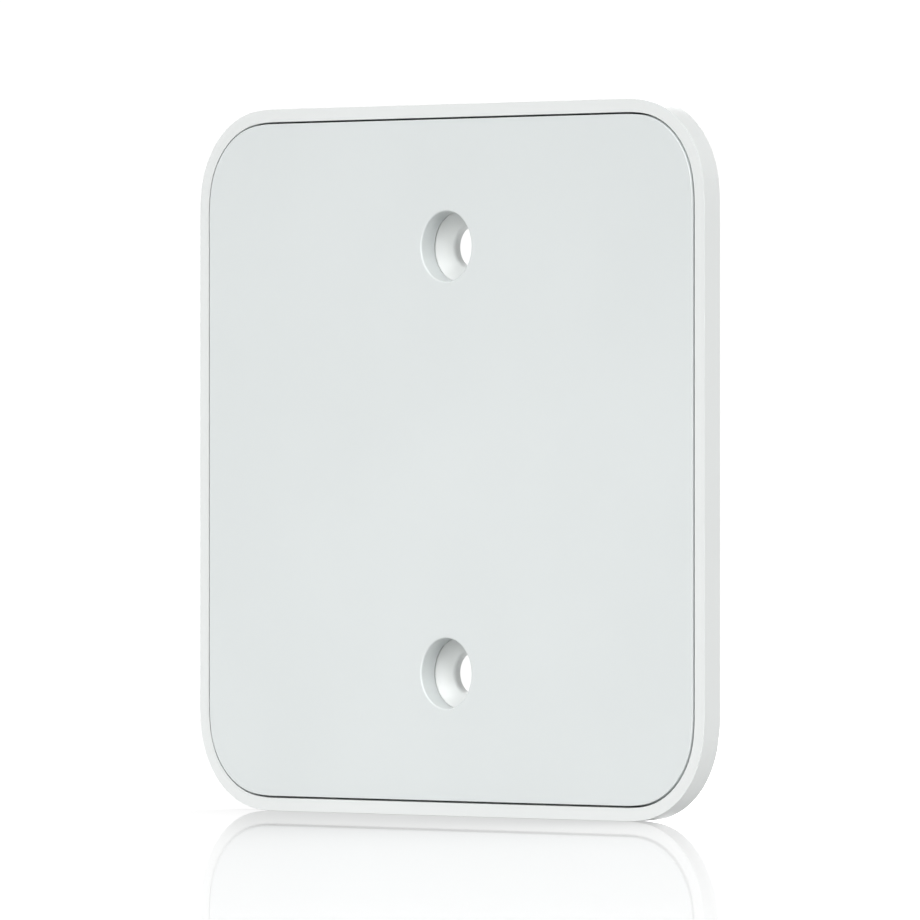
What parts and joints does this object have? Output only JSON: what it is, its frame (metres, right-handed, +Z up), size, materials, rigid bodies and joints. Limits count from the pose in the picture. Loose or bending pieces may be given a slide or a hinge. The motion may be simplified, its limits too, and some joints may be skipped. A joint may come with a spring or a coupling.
{
  "type": "magnetic device mounting plate",
  "caption": "Thin square wall or ceiling mounting plate with rounded corners, a raised rim, a magnetic front panel and countersunk screw holes on its centre line.",
  "frame": {"origin": "midway between the two screw holes, on the flat face that touches the wall or ceiling", "axes": "+Z up along the line of the screw holes, +X across, and -Y out of the front panel towards the mounted device"},
  "size_m": [0.1, 0.0059, 0.1],
  "materials": {
    "panel_plastic": "fine satin moulded grey-white",
    "base_plastic": "fine satin moulded white",
    "seal": "matt black adhesive foam",
    "yoke_steel": "zinc plated",
    "carrier_plastic": "natural moulded",
    "magnet_plating": "bright nickel plating"
  },
  "bodies": {
    "root": {"front_panel": "panel_plastic", "rear_base": "base_plastic", "bond_frame": "seal", "collar_seal_upper": "seal", "collar_seal_lower": "seal", "steel_yoke": "yoke_steel", "magnet_carrier": "carrier_plastic", "magnet_1": "magnet_plating", "magnet_2": "magnet_plating", "magnet_3": "magnet_plating", "magnet_4": "magnet_plating", "magnet_5": "magnet_plating", "magnet_6": "magnet_plating", "magnet_7": "magnet_plating", "magnet_8": "magnet_plating"}
  },
  "joints": []
}
